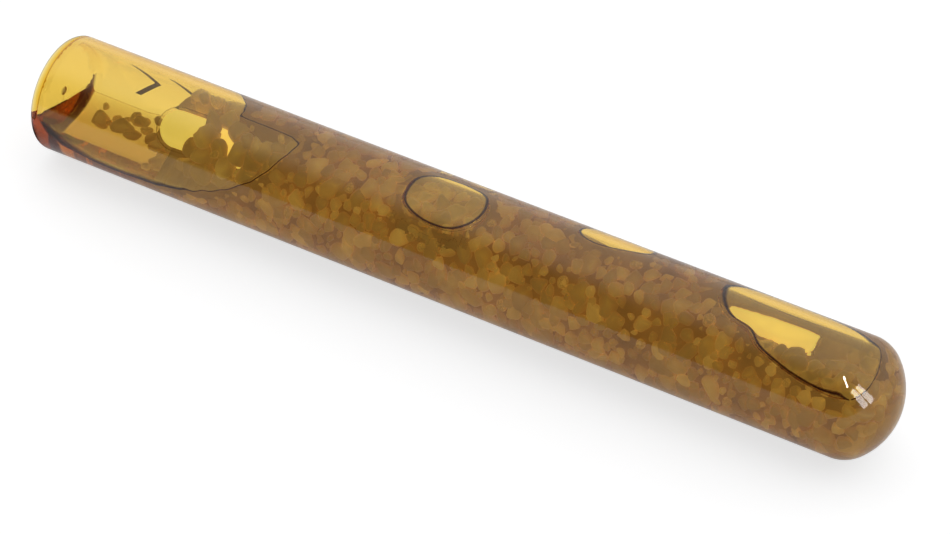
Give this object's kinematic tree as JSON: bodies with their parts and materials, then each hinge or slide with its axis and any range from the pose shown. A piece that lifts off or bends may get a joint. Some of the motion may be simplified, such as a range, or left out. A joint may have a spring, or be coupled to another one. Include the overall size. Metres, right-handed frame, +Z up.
{
  "type": "sealed glass resin capsule",
  "caption": "Sealed amber glass vial with a dished end and a fused flat end, holding resin, crushed quartz grains and a thin inner ampoule of hardener powder.",
  "frame": {"origin": "under the middle of the capsule, on the surface that it lies on", "axes": "+X along the capsule's axis towards the dished end, +Z up, the printed mark on the +Y side"},
  "size_m": [0.097, 0.0126, 0.0125],
  "materials": {
    "amber_glass": "thin amber glass, smooth and glossy, darker where it is seen edge on",
    "ampoule_glass": "thin clear glass, smooth and glossy",
    "hardener_powder": "fine pale yellow powder, matt",
    "resin": "clear honey-brown liquid resin",
    "quartz": "crushed quartz grains, honey brown from the resin round them, rounded corners",
    "print_ink": "dark brown ink printed on the outside of the glass"
  },
  "bodies": {
    "root": {"outer_tube": "amber_glass", "end_seal": "amber_glass", "ampoule_tube": "ampoule_glass", "ampoule_cap": "ampoule_glass", "hardener_powder": "hardener_powder", "resin_fill": "resin", "quartz_grain_01": "quartz", "quartz_grain_02": "quartz", "quartz_grain_03": "quartz", "quartz_grain_04": "quartz", "quartz_grain_05": "quartz", "quartz_grain_06": "quartz", "quartz_grain_07": "quartz", "quartz_grain_08": "quartz", "quartz_grain_09": "quartz", "quartz_grain_10": "quartz", "quartz_grain_11": "quartz", "quartz_grain_12": "quartz", "quartz_grain_13": "quartz", "quartz_grain_14": "quartz", "quartz_grain_15": "quartz", "quartz_grain_16": "quartz", "quartz_grain_17": "quartz", "quartz_grain_18": "quartz", "quartz_grain_19": "quartz", "quartz_grain_20": "quartz", "quartz_grain_21": "quartz", "quartz_grain_22": "quartz", "quartz_grain_23": "quartz", "quartz_grain_24": "quartz", "quartz_grain_25": "quartz", "quartz_grain_26": "quartz", "quartz_grain_27": "quartz", "quartz_grain_28": "quartz", "quartz_grain_29": "quartz", "quartz_grain_30": "quartz", "quartz_grain_31": "quartz", "quartz_grain_32": "quartz", "quartz_grain_33": "quartz", "quartz_grain_34": "quartz", "quartz_grain_35": "quartz", "quartz_grain_36": "quartz", "quartz_grain_37": "quartz", "quartz_grain_38": "quartz", "quartz_grain_39": "quartz", "quartz_grain_40": "quartz", "printed_chevron_1": "print_ink", "printed_chevron_2": "print_ink", "printed_chevron_3": "print_ink", "printed_bar": "print_ink"}
  },
  "joints": []
}
